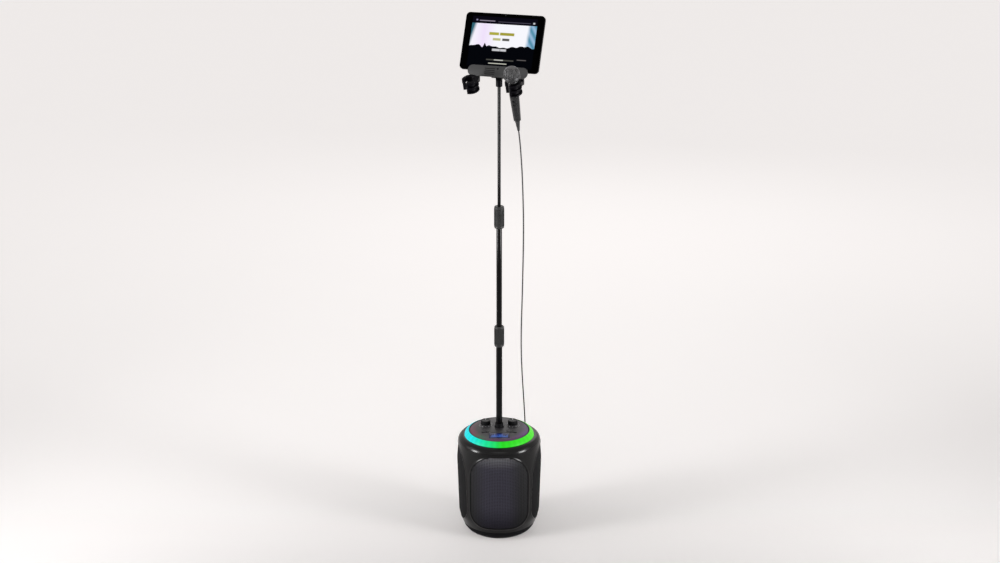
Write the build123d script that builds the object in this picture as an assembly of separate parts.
from build123d import *
from math import cos, pi, radians, sin, sqrt, tan
import os

# A karaoke speaker: a barrel body that stands on the floor, a telescopic pole that rises from its deck, a head
# with a tablet cradle and two microphone clips, and one wired microphone.
# Millimetres. +Z is up and -Y is the front. The origin is the centre of the rubber pad, on the floor.

# ---------------------------------------------------------------- driving dimensions

# running clearances and seats
GAP = 0.3  # between curved faces that do not bear on each other
RUN = 0.05  # radial clearance of a part that turns or slides on another

# barrel: the outline runs through four corners that are rounded into one another
BARREL_WAIST_R = 132.0
BROW_IN = 5.5  # brow and heel lie this far inside the waist
FOOT_IN = 17.0  # and the edge above the foot this far
BARREL_BROW_R = BARREL_WAIST_R - BROW_IN
BARREL_HEEL_R = BARREL_WAIST_R - BROW_IN
BARREL_FOOT_R = BARREL_WAIST_R - FOOT_IN
BARREL_HEEL_Z = 62.0
BARREL_WAIST_Z = 240.0
BARREL_TOP = 315.0
HEEL_FILLET = 60.0
WAIST_FILLET = 200.0
BROW_FILLET = 20.0
SHELL_WALL = 6.0

# foot
FOOT_STEP = 1.5  # the shell stands this far out over the foot
FOOT_TAPER = 20.0
PAD_INSET = 3.5
FOOT_TOP_R = BARREL_FOOT_R - FOOT_STEP
FOOT_BOTTOM_R = FOOT_TOP_R - FOOT_TAPER
PAD_R = FOOT_BOTTOM_R - PAD_INSET
PAD_T = 3.0
FOOT_TOP = 30.0
FOOT_FLOOR = 5.0
FOOT_RIM = 6.0
SCREW_POST_R = 5.0
SCREW_CIRCLE_R = FOOT_TOP_R - FOOT_RIM - SCREW_POST_R - 2.5
SCREW_R = 1.5
SCREW_HEAD_R = 3.4
SCREW_HEAD_T = 2.4
SCREW_BITE = 14.0

# arched panels, one on each of the four sides
ARCH_IN = (43.0, 52.0, 43.0, 52.0)  # front, right, rear, left: short of the waist's radius
ARCH_HALVES = [BARREL_WAIST_R - short for short in ARCH_IN]
ARCH_LOW = 46.0
ARCH_HIGH = 291.0
ARCH_TOP_FILLET = min(ARCH_HALVES) - 2.0
ARCH_LOW_FILLET = 50.0
PANEL_SUNK = 1.5
PANEL_T = 2.4
PANEL_LEDGE = 6.0

# light ring and deck
RING_IN = 19.0
RING_WIDTH = 17.5
RING_R = BARREL_BROW_R - RING_IN
DECK_R = RING_R - RING_WIDTH
RING_INNER_R = DECK_R + 0.4
RING_FOOT = BARREL_TOP - 1.0
RING_TOP = 329.2
RING_BULGE = 2.6
RING_WALL = 3.0
DECK_CENTRE = 339.0
DECK_EDGE = 329.4
DECK_WALL = 4.0
CHANNEL_FLOOR = 298.0
CHANNEL_WALL = 3.0
LEDGE_T = 3.0
LED_COUNT = 36
LED_SIZE = 5.0
LED_T = 1.2
LED_BOARD_T = 1.6

# knobs
KNOB_X = 42.0
KNOB_Y = 21.0
KNOB_R = 15.0
KNOB_H = 13.5
KNOB_SEAT_R = 16.5
KNOB_SEAT_Z = 338.6
KNOB_STEM_R = 3.0
KNOB_STEM_DROP = 20.0
POT_SIDE = 18.0
POT_H = 9.0

# buttons: x centre, width; they share a row
BUTTON_TO_WINDOW = 28.0
WINDOW_IN = 31.0
WINDOW_Y = WINDOW_IN - DECK_R
BUTTON_ROW_Y = WINDOW_Y + BUTTON_TO_WINDOW
BUTTON_DEPTH = 12.0
BUTTONS = {
    "left_button_1": (-48.6, 11.0),
    "left_button_2": (-36.6, 11.0),
    "right_button_1": (31.6, 14.0),
    "right_button_2": (46.6, 14.0),
}
BUTTON_PROUD = 1.2
BUTTON_TRAVEL = 1.2
BUTTON_FOOT_Z = 322.0
BOARD_Z = 316.0
BOARD_T = 1.6
BOARD_R = DECK_R - 10.0

# display window
WINDOW_W = 62.0
WINDOW_D = 28.0
WINDOW_T = 2.0
WINDOW_LEDGE = 2.0

# pole
SOCKET_R = 12.3
SOCKET_TOP = 352.0
SOCKET_BOTTOM = 290.0
SOCKET_FLOOR = 5.0
FLANGE_R = 26.0
FLANGE_T = 3.5
LOWER_R = 9.5
LOWER_WALL = 0.9
LOWER_TOP = 655.0
MIDDLE_R = LOWER_R - LOWER_WALL - 2 * RUN
MIDDLE_WALL = 1.0
MIDDLE_BOTTOM = 600.0
MIDDLE_TOP = 1035.0
UPPER_R = 4.9
UPPER_BOTTOM = 985.0
UPPER_TOP = 1428.0
BUSH_LENGTH = 20.0
COLLAR_WALL = 3.2
COLLAR_CHAMFER = 3.0
COLLET_R = 12.0
LOWER_COLLAR = (605.0, 671.0)
UPPER_COLLAR = (981.0, 1049.0)
COLLAR_LIP = 4.0
COLLET_INSET = 7.0

# head
HEAD_YAW = -18.7
HEAD_BOTTOM = 1408.0
HEAD_R = 9.6
LUG_W = 17.0
LUG_R = 6.3
ROD_Z = 1440.0
ROD_R = 3.5
ROD_HALF = 76.0

# microphone clips, in the head's own directions: across, forward, up
CLIP_ACROSS = 64.7
CLIP_FORWARD = 65.0
CLIP_Z = 1423.4
CLIP_LEAN = 20.0
CLIP_BORE_R = 14.7
CLIP_WALL = 4.0
CLIP_RIB_R = 24.5
CLIP_RIB_T = 4.0
CLIP_H = 36.0
MOUTH_START = 188.7
MOUTH_END = 260.7
FINGER_SWEEP = 18.0
NOTCH_SWEEP = 34.0
NOTCH_TOP = 4.0
JAW_SWEEP = 12.0
ARM_ACROSS = 67.5
ARM_W = 14.0
ARM_LOW = 1418.0
ARM_HIGH = 1430.0
ARM_BACK = 6.0
BOSS_R = 8.0

# tablet, and the cradle that holds it
TABLET_W = 240.0
TABLET_H = 169.5
TABLET_T = 7.5
TABLET_CORNER = 12.0
TABLET_TILT = 24.9
TABLET_FRONT = 14.3  # the glass lies this far in front of the rod
TABLET_FOOT = 9.9  # and the tablet's bottom edge this far above it
SCREEN_W = 197.0
SCREEN_H = 148.0
GLASS_T = 0.8
GLASS_RIM = 1.0
SCREEN_T = 0.6
SHELF_T = 3.0
SHELF_HALF = 56.0
LIP_HALF = 91.0
LIP_LOW = -9.0
LIP_HIGH = 23.5
LIP_T = 4.0
LIP_AIR = 2.2
BACK_H = 112.0
BACK_T = 3.0
BACK_HALF = 60.0
BACK_FILLET = 20.0
BACK_FRAME = 18.0
CRADLE_PAD_T = 1.5
KNUCKLE_R = 8.0
KNUCKLE_W = 13.0

# microphone, along its own axis from the middle of its clip
MIC_HANDLE_R = 14.3
MIC_TAIL_R = 10.8
MIC_TAIL = -109.0
MIC_NECK = 21.0
MIC_CUP_R = 22.0
MIC_CUP = 33.0
MIC_BAND_R = 23.4
MIC_BAND = 40.0
MIC_DOME_TOP = 68.0
MIC_WALL = 1.6
BOOT_R = 6.8
BOOT_TIP_R = 3.4
BOOT_TIP = -146.0
SWITCH_AT = -46.0
SWITCH_SLOT = (16.0, 6.0)
SWITCH_SIZE = (9.0, 5.4)
SWITCH_PROUD = 0.8
SWITCH_TRAVEL = 3.0

# rear panel: a recess with the jacks, the inlet and the switch
POD_HALF = 56.0
POD_LOW = 58.0
POD_HIGH = 118.0
POD_FACE_Y = BARREL_WAIST_R - 20.5
POD_WALL = 4.0
JACK_X = (18.0, -14.0)
JACK_Z = 88.0
JACK_BORE_R = 3.225
JACK_BUSH_R = 6.0
JACK_NUT_R = 8.0
JACK_NUT_T = 2.5
JACK_DEPTH = 30.0
JACK_BOX = 15.0
PLUG_PIN_R = 3.15
PLUG_PIN = 28.0
PLUG_R = 7.0
PLUG_LENGTH = 36.0
PLUG_TAIL_R = 3.4
PLUG_TAIL = 20.0
INLET_X = -40.0
INLET_R = 5.6
INLET_BORE_R = 2.8
INLET_DEPTH = 11.0
SWITCH_X = 42.0
ROCKER_W = 9.0
ROCKER_H = 15.0
ROCKER_D = 6.0
ROCKER_PIN_R = 1.0
ROCKER_SWING_AIR = 2.4

# inside the barrel
BAFFLE_Y = 32.0 - BARREL_WAIST_R
BAFFLE_T = 8.0
BAFFLE_LOW = 64.0
BAFFLE_HIGH = 280.0
DRIVER_Z = 158.0
DRIVER_R = 65.0
DRIVER_HOLE_R = 58.0
DRIVER_DEPTH = 40.0
DRIVER_RIM_T = 4.0
CONE_SEAT = 2.4
CONE_R = 52.0
CONE_NECK_R = 14.0
MAGNET_R = 42.0
MAGNET_T = 22.0
BATTERY = (BARREL_WAIST_R - 28.0, 52.0, 62.0)
BATTERY_Y = BARREL_WAIST_R - 80.0
AMP = (BARREL_WAIST_R - 36.0, 66.0)
AMP_Y = -34.0
AMP_POST = 10.0

# cord: a limp 4 mm lead
CORD_R = 2.0
CORD_LEAVES = 30.0  # straight out of the boot
COIL_CENTRE = (52.0, 205.0)
COIL_MID_R = 23.0
COIL_TURNS_WIDE = 3
COIL_TURNS_HIGH = 2

# ---------------------------------------------------------------- helpers

os.makedirs("parts", exist_ok=True)


def save(name, shape):
    export_step(shape, f"parts/{name}.step")


def lathe(*points):
    """A solid turned about Z from an outline of (radius, height) corners."""
    return revolve(Plane.XZ * make_face(Polyline(*points, close=True)), Axis.Z)


def tube(outer, inner, low, high):
    return lathe((inner, low), (outer, low), (outer, high), (inner, high))


def rod(radius, low, high):
    return Pos(0, 0, low) * extrude(Circle(radius), high - low)


def block(x0, x1, y0, y1, z0, z1):
    return Pos((x0 + x1) / 2, (y0 + y1) / 2, (z0 + z1) / 2) * Box(x1 - x0, y1 - y0, z1 - z0)


def across(radius, x0, x1, z=0.0):
    """A rod along X."""
    return Pos(x0, 0, z) * Rot(0, 90, 0) * extrude(Circle(radius), x1 - x0)


# ---------------------------------------------------------------- places

HEAD = Rot(0, 0, HEAD_YAW)
CRADLE = HEAD * Pos(0, 0, ROD_Z) * Rot(-TABLET_TILT, 0, 0)
MIC = HEAD * Pos(CLIP_ACROSS, -CLIP_FORWARD, CLIP_Z) * Rot(CLIP_LEAN, 0, 0)
SPARE_CLIP = HEAD * Pos(-CLIP_ACROSS, -CLIP_FORWARD, CLIP_Z) * Rot(CLIP_LEAN, 0, 0)
DRIVER = Pos(0, BAFFLE_Y, DRIVER_Z) * Rot(90, 0, 0)
DECK_CURVE_R = (DECK_R**2 + (DECK_CENTRE - DECK_EDGE) ** 2) / (2 * (DECK_CENTRE - DECK_EDGE))


def deck_height(radius):
    return DECK_CENTRE - DECK_CURVE_R + sqrt(DECK_CURVE_R**2 - radius**2)


def deck_plug(radius, sunk, floor):
    """What lies under the deck's curved top, sunk by that much, down to a flat floor."""
    curve = ThreePointArc(
        (0, DECK_CENTRE - sunk),
        (radius / 2, deck_height(radius / 2) - sunk),
        (radius, deck_height(radius) - sunk),
    )
    sides = Polyline((radius, deck_height(radius) - sunk), (radius, floor), (0, floor), (0, DECK_CENTRE - sunk))
    return revolve(Plane.XZ * make_face(curve + sides), Axis.Z)


def barrel(inset):
    """The barrel's outer form, taken in by inset all round."""
    outline = FilletPolyline(
        (BARREL_FOOT_R - inset, FOOT_TOP),
        (BARREL_HEEL_R - inset, BARREL_HEEL_Z),
        (BARREL_WAIST_R - inset, BARREL_WAIST_Z),
        (BARREL_BROW_R - inset, BARREL_TOP - inset),
        (0, BARREL_TOP - inset),
        radius=[HEEL_FILLET, WAIST_FILLET, BROW_FILLET - inset],
    )
    axis = Polyline((0, BARREL_TOP - inset), (0, FOOT_TOP), (BARREL_FOOT_R - inset, FOOT_TOP))
    return revolve(Plane.XZ * make_face(outline + axis), Axis.Z)


def arch(inset, side):
    """A prism with the outline of an arched panel. Side 0 is the front, and the others follow by quarter turns."""
    half = ARCH_HALVES[side] - inset
    low, high = ARCH_LOW + inset, ARCH_HIGH - inset
    corners = [(-half, low), (half, low), (half, high), (-half, high)]
    radii = [ARCH_LOW_FILLET - inset] * 2 + [ARCH_TOP_FILLET - inset] * 2
    outline = FilletPolyline(*corners, radius=radii, close=True)
    prism = extrude(Plane.XZ * make_face(outline), BARREL_WAIST_R + SHELL_WALL)
    return Rot(0, 0, 90 * side) * (prism - block(-half, half, -POD_HALF, 0, low, high))


# ---------------------------------------------------------------- foot


def make_foot():
    save("rubber_pad", rod(PAD_R, 0, PAD_T))
    floor = PAD_T + FOOT_FLOOR
    wall = FOOT_TOP_R - FOOT_RIM
    curve = ThreePointArc((FOOT_BOTTOM_R, PAD_T), (FOOT_TOP_R - 6.2, FOOT_TOP / 2), (FOOT_TOP_R, FOOT_TOP))
    inside = Polyline(
        (FOOT_TOP_R, FOOT_TOP),
        (wall, FOOT_TOP),
        (FOOT_BOTTOM_R, floor),
        (0, floor),
        (0, PAD_T),
        (FOOT_BOTTOM_R, PAD_T),
    )
    foot = revolve(Plane.XZ * make_face(curve + inside), Axis.Z)
    screws = []
    post_bottom = PAD_T
    for turn in range(4):
        spot = Rot(0, 0, 45 + 90 * turn) * Pos(SCREW_CIRCLE_R - SCREW_POST_R - 1, 0, 0)
        foot += spot * rod(SCREW_POST_R, floor, FOOT_TOP)
        foot -= spot * rod(SCREW_R + GAP, post_bottom, FOOT_TOP)
        foot -= spot * rod(SCREW_HEAD_R + GAP, post_bottom, post_bottom + SCREW_HEAD_T + GAP)
        head = rod(SCREW_HEAD_R, post_bottom + GAP, post_bottom + GAP + SCREW_HEAD_T)
        shank = rod(SCREW_R, post_bottom + GAP + SCREW_HEAD_T, FOOT_TOP + SCREW_BITE)
        screws.append(spot * (head + shank))
    save("foot_ring", foot)
    save("foot_screws", Compound(children=screws))


# ---------------------------------------------------------------- barrel


def make_barrel():
    shell = barrel(0) - barrel(SHELL_WALL)
    opening_r = RING_R + GAP
    ledge_top = CHANNEL_FLOOR - GAP
    shell -= rod(opening_r, BARREL_TOP - 2 * SHELL_WALL, BARREL_TOP + 1)
    shell += tube(opening_r + CHANNEL_WALL, opening_r, ledge_top, BARREL_TOP - SHELL_WALL)
    shell += tube(opening_r + CHANNEL_WALL, opening_r - 9, ledge_top - LEDGE_T, ledge_top)
    pocket_floor = barrel(PANEL_SUNK + PANEL_T + 0.1)
    for side in range(4):
        shell -= arch(0, side) - pocket_floor
        shell -= arch(PANEL_LEDGE, side)
    for turn in range(4):
        spot = Rot(0, 0, 45 + 90 * turn)
        reach = SCREW_CIRCLE_R - SCREW_POST_R - 1
        post = spot * (Pos(reach, 0, 0) * rod(SCREW_POST_R, FOOT_TOP, FOOT_TOP + SCREW_BITE + 4))
        web = spot * block(reach, BARREL_FOOT_R, -2, 2, FOOT_TOP, FOOT_TOP + SCREW_BITE + 4)
        hole = spot * (Pos(reach, 0, 0) * rod(SCREW_R, FOOT_TOP, FOOT_TOP + SCREW_BITE))
        shell = shell + post + (web & barrel(SHELL_WALL / 2)) - hole
    save("body_shell", shell)

    layer = barrel(PANEL_SUNK) - barrel(PANEL_SUNK + PANEL_T)
    for name, side in (("front_grille", 0), ("right_panel", 1), ("left_panel", 3)):
        save(name, layer & arch(GAP, side))
    make_rear_panel(layer)


def make_rear_panel(layer):
    """The rear arch, and a tray set in it, whose floor holds two jacks, the inlet and the power switch."""
    back = POD_FACE_Y - POD_WALL
    box = block(
        -POD_HALF - POD_WALL, POD_HALF + POD_WALL, back, BARREL_WAIST_R, POD_LOW - POD_WALL, POD_HIGH + POD_WALL
    )
    pocket = block(-POD_HALF, POD_HALF, POD_FACE_Y, BARREL_WAIST_R + 1, POD_LOW, POD_HIGH)
    save("rear_panel", (layer & arch(GAP, 2)) - box)
    tray = (box & barrel(PANEL_SUNK)) - pocket
    through = Rot(90, 0, 0)  # local Z runs towards the front
    jacks, pins = [], []
    for x in JACK_X:
        spot = Pos(x, POD_FACE_Y, JACK_Z) * through
        tray -= spot * rod(JACK_BUSH_R, -1, POD_WALL + 1)
        jack = spot * (rod(JACK_NUT_R, -JACK_NUT_T, 0) + rod(JACK_BUSH_R, 0, POD_WALL))
        behind = JACK_DEPTH - POD_WALL
        jack += spot * (Pos(0, 0, POD_WALL + behind / 2) * Box(JACK_BOX, JACK_BOX, behind))
        jacks.append(jack - spot * rod(JACK_BORE_R, -JACK_NUT_T, JACK_DEPTH - 1))
    save("mic_jacks", Compound(children=jacks))

    spot = Pos(INLET_X, POD_FACE_Y, JACK_Z) * through
    tray -= spot * rod(INLET_R, -1, POD_WALL + 1)
    inlet = rod(INLET_R + 1.4, -1.2, 0) + rod(INLET_R, 0, INLET_DEPTH) - rod(INLET_BORE_R, -1.2, INLET_DEPTH - 2)
    save("dc_inlet", spot * inlet)

    centre = Pos(SWITCH_X, POD_FACE_Y - POD_WALL / 2 + 1, JACK_Z)
    slot = Box(ROCKER_W + 2 * GAP, BARREL_WAIST_R - POD_FACE_Y, ROCKER_H + ROCKER_SWING_AIR)
    tray -= centre * slot
    bearing = ROCKER_W / 2 + 3
    tray -= centre * across(ROCKER_PIN_R + RUN, -bearing - GAP, bearing + GAP)
    rocker = Box(ROCKER_W, ROCKER_D, ROCKER_H) + across(ROCKER_PIN_R, -bearing, bearing)
    save("power_switch", centre * rocker)
    save("jack_tray", tray)

    spot = Pos(JACK_X[0], POD_FACE_Y + JACK_NUT_T, JACK_Z) * Rot(-90, 0, 0)
    grip = lathe(
        (0, 0),
        (PLUG_R, 0),
        (PLUG_R, PLUG_LENGTH),
        (PLUG_TAIL_R, PLUG_LENGTH + 2),
        (PLUG_TAIL_R - 1, PLUG_LENGTH + PLUG_TAIL),
        (0, PLUG_LENGTH + PLUG_TAIL),
    )
    save("mic_plug", spot * (grip + rod(PLUG_PIN_R, -PLUG_PIN, 0)))


# ---------------------------------------------------------------- deck and light ring


def make_deck():
    wall_r = DECK_R - CHANNEL_WALL
    rim_top = RING_FOOT - CHANNEL_WALL
    deck = deck_plug(DECK_R, 0, CHANNEL_FLOOR) - deck_plug(wall_r, DECK_WALL, CHANNEL_FLOOR)
    deck += tube(RING_R - 0.1, DECK_R, CHANNEL_FLOOR, CHANNEL_FLOOR + CHANNEL_WALL)
    deck += tube(RING_R - 0.1, RING_R - 0.1 - CHANNEL_WALL, CHANNEL_FLOOR, rim_top)
    deck -= rod(SOCKET_R + GAP, CHANNEL_FLOOR, DECK_CENTRE + 1)
    pots, knobs = [], {}
    for name, x in (("left_knob", -KNOB_X), ("right_knob", KNOB_X)):
        spot = Pos(x, KNOB_Y, 0)
        seat = spot * rod(KNOB_SEAT_R, DECK_EDGE, KNOB_SEAT_Z)
        deck += seat
        deck -= spot * rod(KNOB_STEM_R + 2, CHANNEL_FLOOR, KNOB_SEAT_Z + 1)
        knob = rod(KNOB_R, KNOB_SEAT_Z + GAP, KNOB_SEAT_Z + GAP + KNOB_H)
        knob = chamfer(knob.edges().group_by(Axis.Z)[-1], 1.2)
        stem_foot = KNOB_SEAT_Z - KNOB_STEM_DROP
        knobs[name] = spot * (knob + rod(KNOB_STEM_R, stem_foot, KNOB_SEAT_Z + GAP))
        pot_top = BOARD_Z + BOARD_T + POT_H
        pot = block(-POT_SIDE / 2, POT_SIDE / 2, -POT_SIDE / 2, POT_SIDE / 2, BOARD_Z + BOARD_T, pot_top)
        pots.append(spot * (pot - rod(KNOB_STEM_R + RUN, stem_foot - GAP, pot_top)))
    save("potentiometers", Compound(children=pots))
    for name, knob in knobs.items():
        save(name, knob)

    for name, (x, width) in BUTTONS.items():
        half, deep = width / 2, BUTTON_DEPTH / 2
        top = deck_height(sqrt(x**2 + BUTTON_ROW_Y**2)) + BUTTON_PROUD
        spot = Pos(x, BUTTON_ROW_Y, 0)
        deck -= spot * block(-half - GAP, half + GAP, -deep - GAP, deep + GAP, CHANNEL_FLOOR, DECK_CENTRE)
        save(name, spot * block(-half, half, -deep, deep, BUTTON_FOOT_Z, top))

    half, deep = WINDOW_W / 2, WINDOW_D / 2
    pane = block(-half, half, WINDOW_Y - deep, WINDOW_Y + deep, DECK_EDGE - DECK_WALL, DECK_CENTRE)
    pocket = block(
        -half - GAP, half + GAP, WINDOW_Y - deep - GAP, WINDOW_Y + deep + GAP, DECK_EDGE - DECK_WALL, DECK_CENTRE
    )
    hole = block(
        -half + WINDOW_LEDGE,
        half - WINDOW_LEDGE,
        WINDOW_Y - deep + WINDOW_LEDGE,
        WINDOW_Y + deep - WINDOW_LEDGE,
        DECK_EDGE - 3 * DECK_WALL,
        DECK_CENTRE,
    )
    sunk = deck_plug(DECK_R - CHANNEL_WALL, WINDOW_T + 0.1, DECK_EDGE - 3 * DECK_WALL)
    deck = deck - (pocket - sunk) - hole
    surface = deck_plug(DECK_R - 1, 0, CHANNEL_FLOOR) - deck_plug(DECK_R - 1, WINDOW_T, CHANNEL_FLOOR)
    save("display_window", surface & pane)
    save("top_deck", deck)

    bulge_r = (RING_R + RING_INNER_R) / 2 + RING_BULGE * 0.67
    bulge_z = (RING_FOOT + RING_TOP) / 2 + RING_BULGE * 0.74
    crown = ThreePointArc((RING_R - 0.1, RING_FOOT), (bulge_r, bulge_z), (RING_INNER_R, RING_TOP))
    under = Polyline(
        (RING_INNER_R, RING_TOP),
        (RING_INNER_R, RING_TOP - RING_WALL - 0.5),
        (RING_R - 0.1 - RING_WALL, RING_FOOT - 1.0),
        (RING_R - 0.1 - RING_WALL, rim_top),
        (RING_R - 0.1, rim_top),
        (RING_R - 0.1, RING_FOOT),
    )
    save("light_ring", revolve(Plane.XZ * make_face(crown + under), Axis.Z))

    floor = CHANNEL_FLOOR + CHANNEL_WALL
    leds = tube(RING_R - 6, DECK_R + 2, floor, floor + LED_BOARD_T)
    mid_r = (RING_R - 6 + DECK_R + 2) / 2
    for index in range(LED_COUNT):
        chip = Pos(mid_r, 0, floor + LED_BOARD_T + LED_T / 2) * Box(LED_SIZE, LED_SIZE, LED_T)
        leds += Rot(0, 0, 360 * index / LED_COUNT) * chip
    save("led_board", leds)

    board = rod(BOARD_R, BOARD_Z, BOARD_Z + BOARD_T) - rod(SOCKET_R + 2, BOARD_Z, BOARD_Z + BOARD_T)
    board -= block(-BOARD_R, BOARD_R, KNOB_Y + POT_SIDE, BOARD_R, BOARD_Z, BOARD_Z + BOARD_T)
    for x, width in BUTTONS.values():
        board += Pos(x, BUTTON_ROW_Y, 0) * rod(3, BOARD_Z + BOARD_T, BUTTON_FOOT_Z - BUTTON_TRAVEL - GAP)
    board += block(-half + 4, half - 4, WINDOW_Y - deep + 4, WINDOW_Y + deep - 4, BOARD_Z + BOARD_T, DECK_EDGE - 2)
    for x in (-BOARD_R + 12, BOARD_R - 12):
        post_top = deck_height(BOARD_R - 8) - DECK_WALL - 0.8
        board += Pos(x, 0, 0) * rod(3.5, BOARD_Z + BOARD_T, post_top)
    save("control_board", board)


# ---------------------------------------------------------------- pole


def make_collar(name, span, tube_r, above_r):
    """A twist collar: a barrel grip whose end lips clear the two tubes."""
    low, high = span
    bore = COLLET_R + RUN
    outer = bore + COLLAR_WALL
    cut = COLLAR_CHAMFER
    collar = lathe(
        (tube_r + GAP, low),
        (outer - cut / 2, low),
        (outer, low + cut),
        (outer, high - cut),
        (outer - cut / 2, high),
        (above_r + GAP, high),
        (above_r + GAP, high - COLLAR_LIP),
        (bore, high - COLLAR_LIP),
        (bore, low + COLLAR_LIP),
        (tube_r + GAP, low + COLLAR_LIP),
    )
    save(name, collar)


def collet(span, tube_r, tube_top, above_r):
    """The split grip inside a collar, fixed on the wider tube and bored for the narrower one."""
    low, high = span[0] + COLLET_INSET, span[1] - COLLET_INSET
    return lathe(
        (tube_r, low),
        (COLLET_R, low),
        (COLLET_R, high),
        (above_r + RUN, high),
        (above_r + RUN, tube_top),
        (tube_r, tube_top),
    )


def make_pole():
    socket = tube(SOCKET_R, LOWER_R, SOCKET_BOTTOM, SOCKET_TOP)
    socket += rod(SOCKET_R, SOCKET_BOTTOM, SOCKET_BOTTOM + SOCKET_FLOOR)
    flange_top = deck_height(FLANGE_R) - DECK_WALL - 0.1
    socket += tube(FLANGE_R, SOCKET_R - 1, flange_top - FLANGE_T, flange_top)
    socket += lathe(
        (SOCKET_R - 1, DECK_CENTRE + 0.2),
        (SOCKET_R + 2.4, DECK_CENTRE + 0.2),
        (SOCKET_R, DECK_CENTRE + 4),
        (SOCKET_R - 1, DECK_CENTRE + 4),
    )
    save("pole_socket", socket)
    save("lower_tube", tube(LOWER_R, LOWER_R - LOWER_WALL, SOCKET_BOTTOM + SOCKET_FLOOR, LOWER_TOP))
    save("lower_collet", collet(LOWER_COLLAR, LOWER_R, LOWER_TOP, MIDDLE_R))
    make_collar("lower_collar", LOWER_COLLAR, LOWER_R, MIDDLE_R)
    save("middle_tube", tube(MIDDLE_R, MIDDLE_R - MIDDLE_WALL, MIDDLE_BOTTOM, MIDDLE_TOP))
    save("upper_collet", collet(UPPER_COLLAR, MIDDLE_R, MIDDLE_TOP, UPPER_R))
    make_collar("upper_collar", UPPER_COLLAR, MIDDLE_R, UPPER_R)
    save("upper_tube", rod(UPPER_R, UPPER_BOTTOM, UPPER_TOP))
    bush_r = MIDDLE_R - MIDDLE_WALL - RUN
    save("guide_bush", tube(bush_r, UPPER_R, UPPER_BOTTOM, UPPER_BOTTOM + BUSH_LENGTH))


# ---------------------------------------------------------------- head


def make_head():
    head = tube(HEAD_R, UPPER_R + RUN, HEAD_BOTTOM, UPPER_TOP + GAP)
    head = chamfer(head.edges().group_by(Axis.Z)[0].sort_by(SortBy.RADIUS)[-1:], 1.5)
    head += lathe((0, UPPER_TOP + GAP), (HEAD_R, UPPER_TOP + GAP), (HEAD_R - 2, UPPER_TOP + 3), (0, UPPER_TOP + 3))
    head += block(-LUG_W / 2, LUG_W / 2, -LUG_R, LUG_R, UPPER_TOP + GAP, ROD_Z)
    head += across(LUG_R, -LUG_W / 2, LUG_W / 2, ROD_Z)
    head -= across(ROD_R, -LUG_W, LUG_W, ROD_Z)
    save("swivel_head", HEAD * head)
    save("cross_rod", HEAD * across(ROD_R, -ROD_HALF, ROD_HALF, ROD_Z))
    save("left_clip", make_clip(SPARE_CLIP, -ARM_ACROSS))
    save("right_clip", make_clip(MIC, ARM_ACROSS))


def fan(start, sweep):
    """A flat wedge from the axis outwards, wider than any clip."""
    steps = 8
    reach = 3 * CLIP_RIB_R
    rays = [radians(start + sweep * index / steps) for index in range(steps + 1)]
    return make_face(Polyline((0, 0), *[(reach * cos(ray), reach * sin(ray)) for ray in rays], close=True))


def layer_of_clip(low, high, *pieces):
    """One level of a clip: ring pieces of (outer radius, start, sweep), all round the same bore."""
    level = Sketch()
    for outer, start, sweep in pieces:
        level += (Circle(outer) - Circle(CLIP_BORE_R)) & fan(start, sweep)
    return Pos(0, 0, low) * extrude(level, high - low)


def make_clip(place, arm_x):
    """A C-shaped clip with ribs, one springy finger, and an arm that reaches back to the cross rod."""
    half = CLIP_H / 2
    wall_r = CLIP_BORE_R + CLIP_WALL
    ring = 360 - (MOUTH_END - MOUTH_START)
    grip = ring - FINGER_SWEEP - NOTCH_SWEEP
    ribs = (CLIP_RIB_R, MOUTH_END, grip)
    wall = (wall_r, MOUTH_END, grip)
    jaw = (CLIP_RIB_R, MOUTH_END, JAW_SWEEP)
    finger = (CLIP_RIB_R - 2, MOUTH_START - FINGER_SWEEP, FINGER_SWEEP)
    bridge = (CLIP_RIB_R - 1, MOUTH_END + grip, NOTCH_SWEEP + FINGER_SWEEP)
    rib = CLIP_RIB_T
    clip = layer_of_clip(-half, rib - half, ribs, finger)
    clip += layer_of_clip(rib - half, -rib / 2, wall, jaw, finger)
    clip += layer_of_clip(-rib / 2, rib / 2, ribs, finger)
    clip += layer_of_clip(rib / 2, NOTCH_TOP, wall, jaw, finger)
    clip += layer_of_clip(NOTCH_TOP, half - rib, wall, jaw, bridge)
    clip += layer_of_clip(half - rib, half, ribs, bridge)
    clip = place * clip

    side = arm_x - ARM_W / 2
    sleeve_back = -CLIP_FORWARD + wall_r
    arm = block(side, side + ARM_W, sleeve_back, ARM_BACK, ARM_LOW, ARM_HIGH)
    arm += block(side, side + ARM_W, -ARM_BACK, ARM_BACK, ARM_HIGH, ROD_Z)
    arm += across(BOSS_R, side, side + ARM_W, ROD_Z)
    arm -= across(ROD_R, side - 1, side + ARM_W + 1, ROD_Z)
    return clip + HEAD * arm


def rounded(width, low, high, corner, y0, y1):
    """A plate in the cradle's own X and Z, with rounded corners, from y0 to y1."""
    middle = (low + high) / 2
    outline = Pos(0, middle) * RectangleRounded(width, high - low, corner)
    return Pos(0, y1, 0) * extrude(Plane.XZ * outline, y1 - y0)


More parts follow.
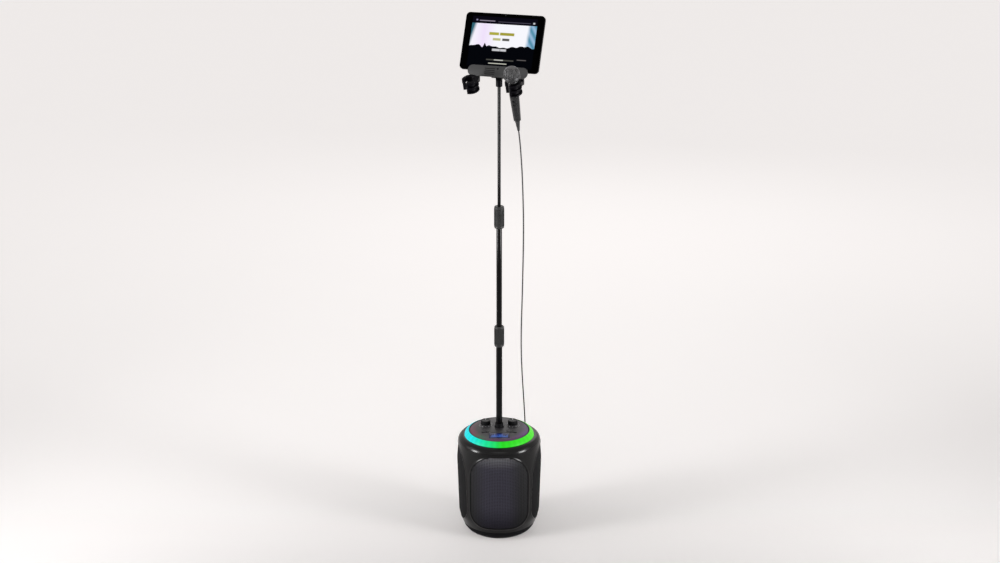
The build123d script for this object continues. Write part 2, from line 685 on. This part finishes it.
def make_cradle():
    back_of_tablet = TABLET_T - TABLET_FRONT
    pad_front = back_of_tablet + GAP
    plate_front = pad_front + CRADLE_PAD_T
    plate_back = plate_front + BACK_T
    shelf_top = TABLET_FOOT - GAP
    lip_back = -TABLET_FRONT - LIP_AIR
    lip_front = lip_back - LIP_T
    lip = rounded(2 * LIP_HALF, LIP_LOW, LIP_HIGH, (LIP_HIGH - LIP_LOW) / 2 - 0.5, lip_front, lip_back)
    cradle = lip + block(-SHELF_HALF, SHELF_HALF, lip_back - 0.5, plate_back, shelf_top - SHELF_T, shelf_top)
    plate = rounded(2 * BACK_HALF, shelf_top - SHELF_T - BACK_FILLET, BACK_H, BACK_FILLET, plate_front, plate_back)
    plate -= block(-BACK_HALF, BACK_HALF, plate_front - 1, plate_back + 1, -BACK_H, shelf_top - SHELF_T)
    window = rounded(
        2 * (BACK_HALF - BACK_FRAME),
        shelf_top + BACK_FRAME,
        BACK_H - BACK_FRAME,
        BACK_FILLET / 2,
        plate_front - 1,
        plate_back + 1,
    )
    cradle += plate - window
    for end in (-1, 1):
        inner = end * (LUG_W / 2 + GAP)
        outer = inner + end * KNUCKLE_W
        cradle += across(KNUCKLE_R, min(inner, outer), max(inner, outer))
    cradle -= across(ROD_R + RUN, -SHELF_HALF, SHELF_HALF)
    save("cradle", CRADLE * cradle)

    pad = rounded(2 * BACK_HALF - 8, shelf_top + 4, BACK_H - 4, BACK_FILLET - 4, pad_front, plate_front)
    cut = rounded(
        2 * (BACK_HALF - BACK_FRAME) + 6,
        shelf_top + BACK_FRAME - 3,
        BACK_H - BACK_FRAME + 3,
        BACK_FILLET / 2 + 3,
        pad_front - 1,
        plate_front + 1,
    )
    save("cradle_pad", CRADLE * (pad - cut))

    front = -TABLET_FRONT
    top = TABLET_FOOT + TABLET_H
    case = rounded(TABLET_W, TABLET_FOOT, top, TABLET_CORNER, front, front + TABLET_T)
    glass_low, glass_high = TABLET_FOOT + GLASS_RIM, top - GLASS_RIM
    glass_corner = TABLET_CORNER - GLASS_RIM
    case -= rounded(TABLET_W - 2 * GLASS_RIM, glass_low, glass_high, glass_corner, front - 1, front + GLASS_T)
    low = TABLET_FOOT + (TABLET_H - SCREEN_H) / 2
    screen = block(-SCREEN_W / 2, SCREEN_W / 2, front + GLASS_T, front + GLASS_T + SCREEN_T, low, low + SCREEN_H)
    save("tablet_housing", CRADLE * (case - screen))
    save("tablet_screen", CRADLE * screen)
    glass = rounded(TABLET_W - 2 * GLASS_RIM, glass_low, glass_high, glass_corner, front, front + GLASS_T)
    save("tablet_glass", CRADLE * glass)


# ---------------------------------------------------------------- microphone


def make_microphone():
    shoulder = MIC_NECK - 2
    body = lathe(
        (0, MIC_TAIL),
        (MIC_TAIL_R, MIC_TAIL),
        (MIC_HANDLE_R, -CLIP_H / 2 - 4),
        (MIC_HANDLE_R, shoulder),
        (MIC_HANDLE_R + 0.6, MIC_NECK),
        (0, MIC_NECK),
    )
    length, width = SWITCH_SLOT
    slot_low, slot_high = SWITCH_AT - length / 2, SWITCH_AT + length / 2
    slot = block(-width / 2, width / 2, -2 * MIC_HANDLE_R, -MIC_TAIL_R + 2, slot_low, slot_high)
    save("mic_handle", MIC * (body - slot))
    run, wide = SWITCH_SIZE
    slope = (MIC_HANDLE_R - MIC_TAIL_R) / (-CLIP_H / 2 - 4 - MIC_TAIL)
    surface = MIC_TAIL_R + slope * (SWITCH_AT - MIC_TAIL)
    thumb_back = -MIC_TAIL_R + 2 - GAP
    thumb = block(-wide / 2, wide / 2, -surface - SWITCH_PROUD, thumb_back, SWITCH_AT - run / 2, SWITCH_AT + run / 2)
    save("mic_switch", MIC * thumb)

    edge, base = MIC_BAND_R - 0.6, MIC_BAND + 4
    rise = MIC_DOME_TOP - base
    dome_r = (edge**2 + rise**2) / (2 * rise)
    crown = ThreePointArc(
        (edge, base), (dome_r * sin(radians(45)), MIC_DOME_TOP - dome_r + dome_r * cos(radians(45))), (0, MIC_DOME_TOP)
    )
    rest = Polyline(
        (0, MIC_DOME_TOP),
        (0, MIC_NECK),
        (MIC_HANDLE_R + 1.0, MIC_NECK),
        (MIC_CUP_R, MIC_CUP),
        (MIC_BAND_R, MIC_CUP),
        (MIC_BAND_R, MIC_BAND),
        (edge, base),
    )
    save("mic_grille", MIC * revolve(Plane.XZ * make_face(crown + rest), Axis.Z))
    boot = lathe((0, BOOT_TIP), (BOOT_TIP_R, BOOT_TIP), (BOOT_R, MIC_TAIL - 6), (BOOT_R + 1, MIC_TAIL), (0, MIC_TAIL))
    save("mic_boot", MIC * boot)


# ---------------------------------------------------------------- loudspeaker and electronics


def make_inside():
    slab = block(-BARREL_WAIST_R, BARREL_WAIST_R, BAFFLE_Y, BAFFLE_Y + BAFFLE_T, BAFFLE_LOW, BAFFLE_HIGH)
    baffle = (slab & barrel(SHELL_WALL + GAP)) - DRIVER * rod(DRIVER_HOLE_R, -BAFFLE_T - 1, 1)
    save("baffle", baffle)
    magnet_face = -DRIVER_DEPTH
    wall = 2.0
    frame = lathe(
        (DRIVER_R, 0),
        (DRIVER_R, DRIVER_RIM_T),
        (DRIVER_HOLE_R, DRIVER_RIM_T),
        (DRIVER_HOLE_R, CONE_SEAT),
        (DRIVER_HOLE_R - 4, CONE_SEAT),
        (MAGNET_R - 4, magnet_face + wall),
        (CONE_NECK_R + 2, magnet_face + wall),
        (CONE_NECK_R + 2, magnet_face),
        (MAGNET_R - 3, magnet_face),
        (DRIVER_HOLE_R - GAP, 0),
    )
    save("woofer_frame", DRIVER * frame)
    cone = lathe(
        (DRIVER_HOLE_R - 0.1, CONE_SEAT),
        (DRIVER_HOLE_R - 0.1, CONE_SEAT + 1.2),
        (CONE_R + 2, DRIVER_RIM_T + 0.6),
        (CONE_R, DRIVER_RIM_T - 0.4),
        (CONE_NECK_R + 5, DRIVER_RIM_T - 24),
        (0, DRIVER_RIM_T - 16),
        (0, DRIVER_RIM_T - 18),
        (CONE_NECK_R, DRIVER_RIM_T - 26),
        (CONE_NECK_R, magnet_face + wall + 1),
        (CONE_NECK_R + 1.6, magnet_face + wall + 1),
        (CONE_NECK_R + 1.6, DRIVER_RIM_T - 27),
        (CONE_R - 0.5, CONE_SEAT - 1),
        (CONE_R + 1, CONE_SEAT),
    )
    save("woofer_cone", DRIVER * cone)
    save("woofer_magnet", DRIVER * rod(MAGNET_R, magnet_face - MAGNET_T, magnet_face))

    floor = PAD_T + FOOT_FLOOR
    wide, deep, tall = BATTERY
    battery = block(-wide / 2, wide / 2, BATTERY_Y - deep / 2, BATTERY_Y + deep / 2, floor, floor + tall)
    save("battery_pack", fillet(battery.edges().filter_by(Axis.Z), 6))
    wide, deep = AMP
    board_low = floor + AMP_POST
    amp = block(-wide / 2, wide / 2, AMP_Y - deep / 2, AMP_Y + deep / 2, board_low, board_low + BOARD_T)
    for x in (-wide / 2 + 6, wide / 2 - 6):
        for y in (AMP_Y - deep / 2 + 6, AMP_Y + deep / 2 - 6):
            amp += Pos(x, y, 0) * rod(3, floor, board_low)
    amp += block(-30, 30, AMP_Y - 12, AMP_Y + 12, board_low + BOARD_T, board_low + 22)
    save("amplifier_board", amp)


# ---------------------------------------------------------------- cord

# The hanging run, from below the boot's tip to the coil on the floor, and the heights where it changes body.
CORD_DROP = [
    (62.6, -17.6, 1226),
    (65.8, -9.6, 1180),
    (68.2, -3.4, 1140),
    (71.6, 12.6, 1045),
    (72.7, 21.4, 990),
    (72.9, 30.6, 930),
    (72.3, 40.0, 870),
    (71.3, 49.4, 810),
    (70.6, 58.2, 755),
    (68.2, 74.7, 645),
    (67.9, 82.8, 590),
    (69.1, 91.2, 530),
    (71.8, 99.0, 470),
    (75.6, 106.0, 410),
    (82.2, 115.0, 300),
    (83.6, 117.0, 248),
    (84.4, 117.8, 196),
    (85.4, 118.6, 144),
    (87.2, 121.0, 96),
    (89.4, 127.0, 54),
    (90.6, 138.0, 24),
    (89.6, 154.0, 7),
    (86.4, 171.0, 2.1),
    (82.91, 207.92, 2.1),
]
CORD_CHANGES = (1100, 700, 350)
CORD_NAMES = ("cord_top", "cord_upper", "cord_lower", "cord_back")
# The short run from the coil up to the plug.
CORD_TAIL = [
    (46.61, 235.58, 6.0),
    (33.0, 233.2, 6.0),
    (21.4, 231.0, 13),
    (16.9, 228.4, 30),
    (16.0, 224.6, 48),
    (16.6, 217.0, 66),
    (17.5, 204.0, 81),
    (18.0, 190.0, 88),
    (18.0, 170.0, 88),
]


def parted(points, heights):
    """A falling route cut into runs where it passes each height."""
    runs, run = [], [points[0]]
    for before, after in zip(points, points[1:]):
        for height in heights:
            if before[2] > height >= after[2]:
                share = (before[2] - height) / (before[2] - after[2])
                cut = tuple(b + share * (a - b) for b, a in zip(before, after))
                runs.append(run + [cut])
                run = [cut]
        run.append(after)
    return runs + [run]


def lead(name, points):
    """A round lead along straight runs, with an arc at each point as large as its two runs allow."""
    corners = [Vector(*p) for p in points]
    radii = []
    for before, at, after in zip(corners, corners[1:], corners[2:]):
        turn = radians((at - before).get_angle(after - at))
        radii.append(0.45 * min((at - before).length, (after - at).length) / tan(turn / 2))
    path = FilletPolyline(*corners, radius=radii)
    start = Plane(path @ 0, z_dir=path % 0)
    solid = sweep(start * Circle(CORD_R), path=path)
    expected = pi * CORD_R**2 * path.length
    print(f"{name}: {path.length:.0f} mm, volume ratio {solid.volume / expected:.4f}, least radius {min(radii):.0f}")
    print("  radii", [round(r) for r in radii])
    save(name, solid)
    return path.length


def make_cord():
    ends = [(MIC * Pos(0, 0, BOOT_TIP - drop)).position for drop in (0, CORD_LEAVES)]
    route = [(end.X, end.Y, end.Z) for end in ends] + CORD_DROP
    total = sum(lead(name, run) for name, run in zip(CORD_NAMES, parted(route, CORD_CHANGES)))
    total += lead("cord_tail", CORD_TAIL)
    across_turns = COIL_TURNS_WIDE * CORD_R
    coil = tube(COIL_MID_R + across_turns, COIL_MID_R - across_turns, 0, 2 * CORD_R * COIL_TURNS_HIGH)
    save("cord_coil", Pos(*COIL_CENTRE, 0) * fillet(coil.edges(), 1.8))
    turns = COIL_TURNS_WIDE * COIL_TURNS_HIGH
    wound = turns * 2 * pi * COIL_MID_R
    print(f"cord: {total:.0f} mm of lead and {wound:.0f} mm in {turns} turns, {total + wound:.0f} mm in all")


make_foot()
make_barrel()
make_deck()
make_pole()
make_head()
make_cradle()
make_microphone()
make_inside()
make_cord()
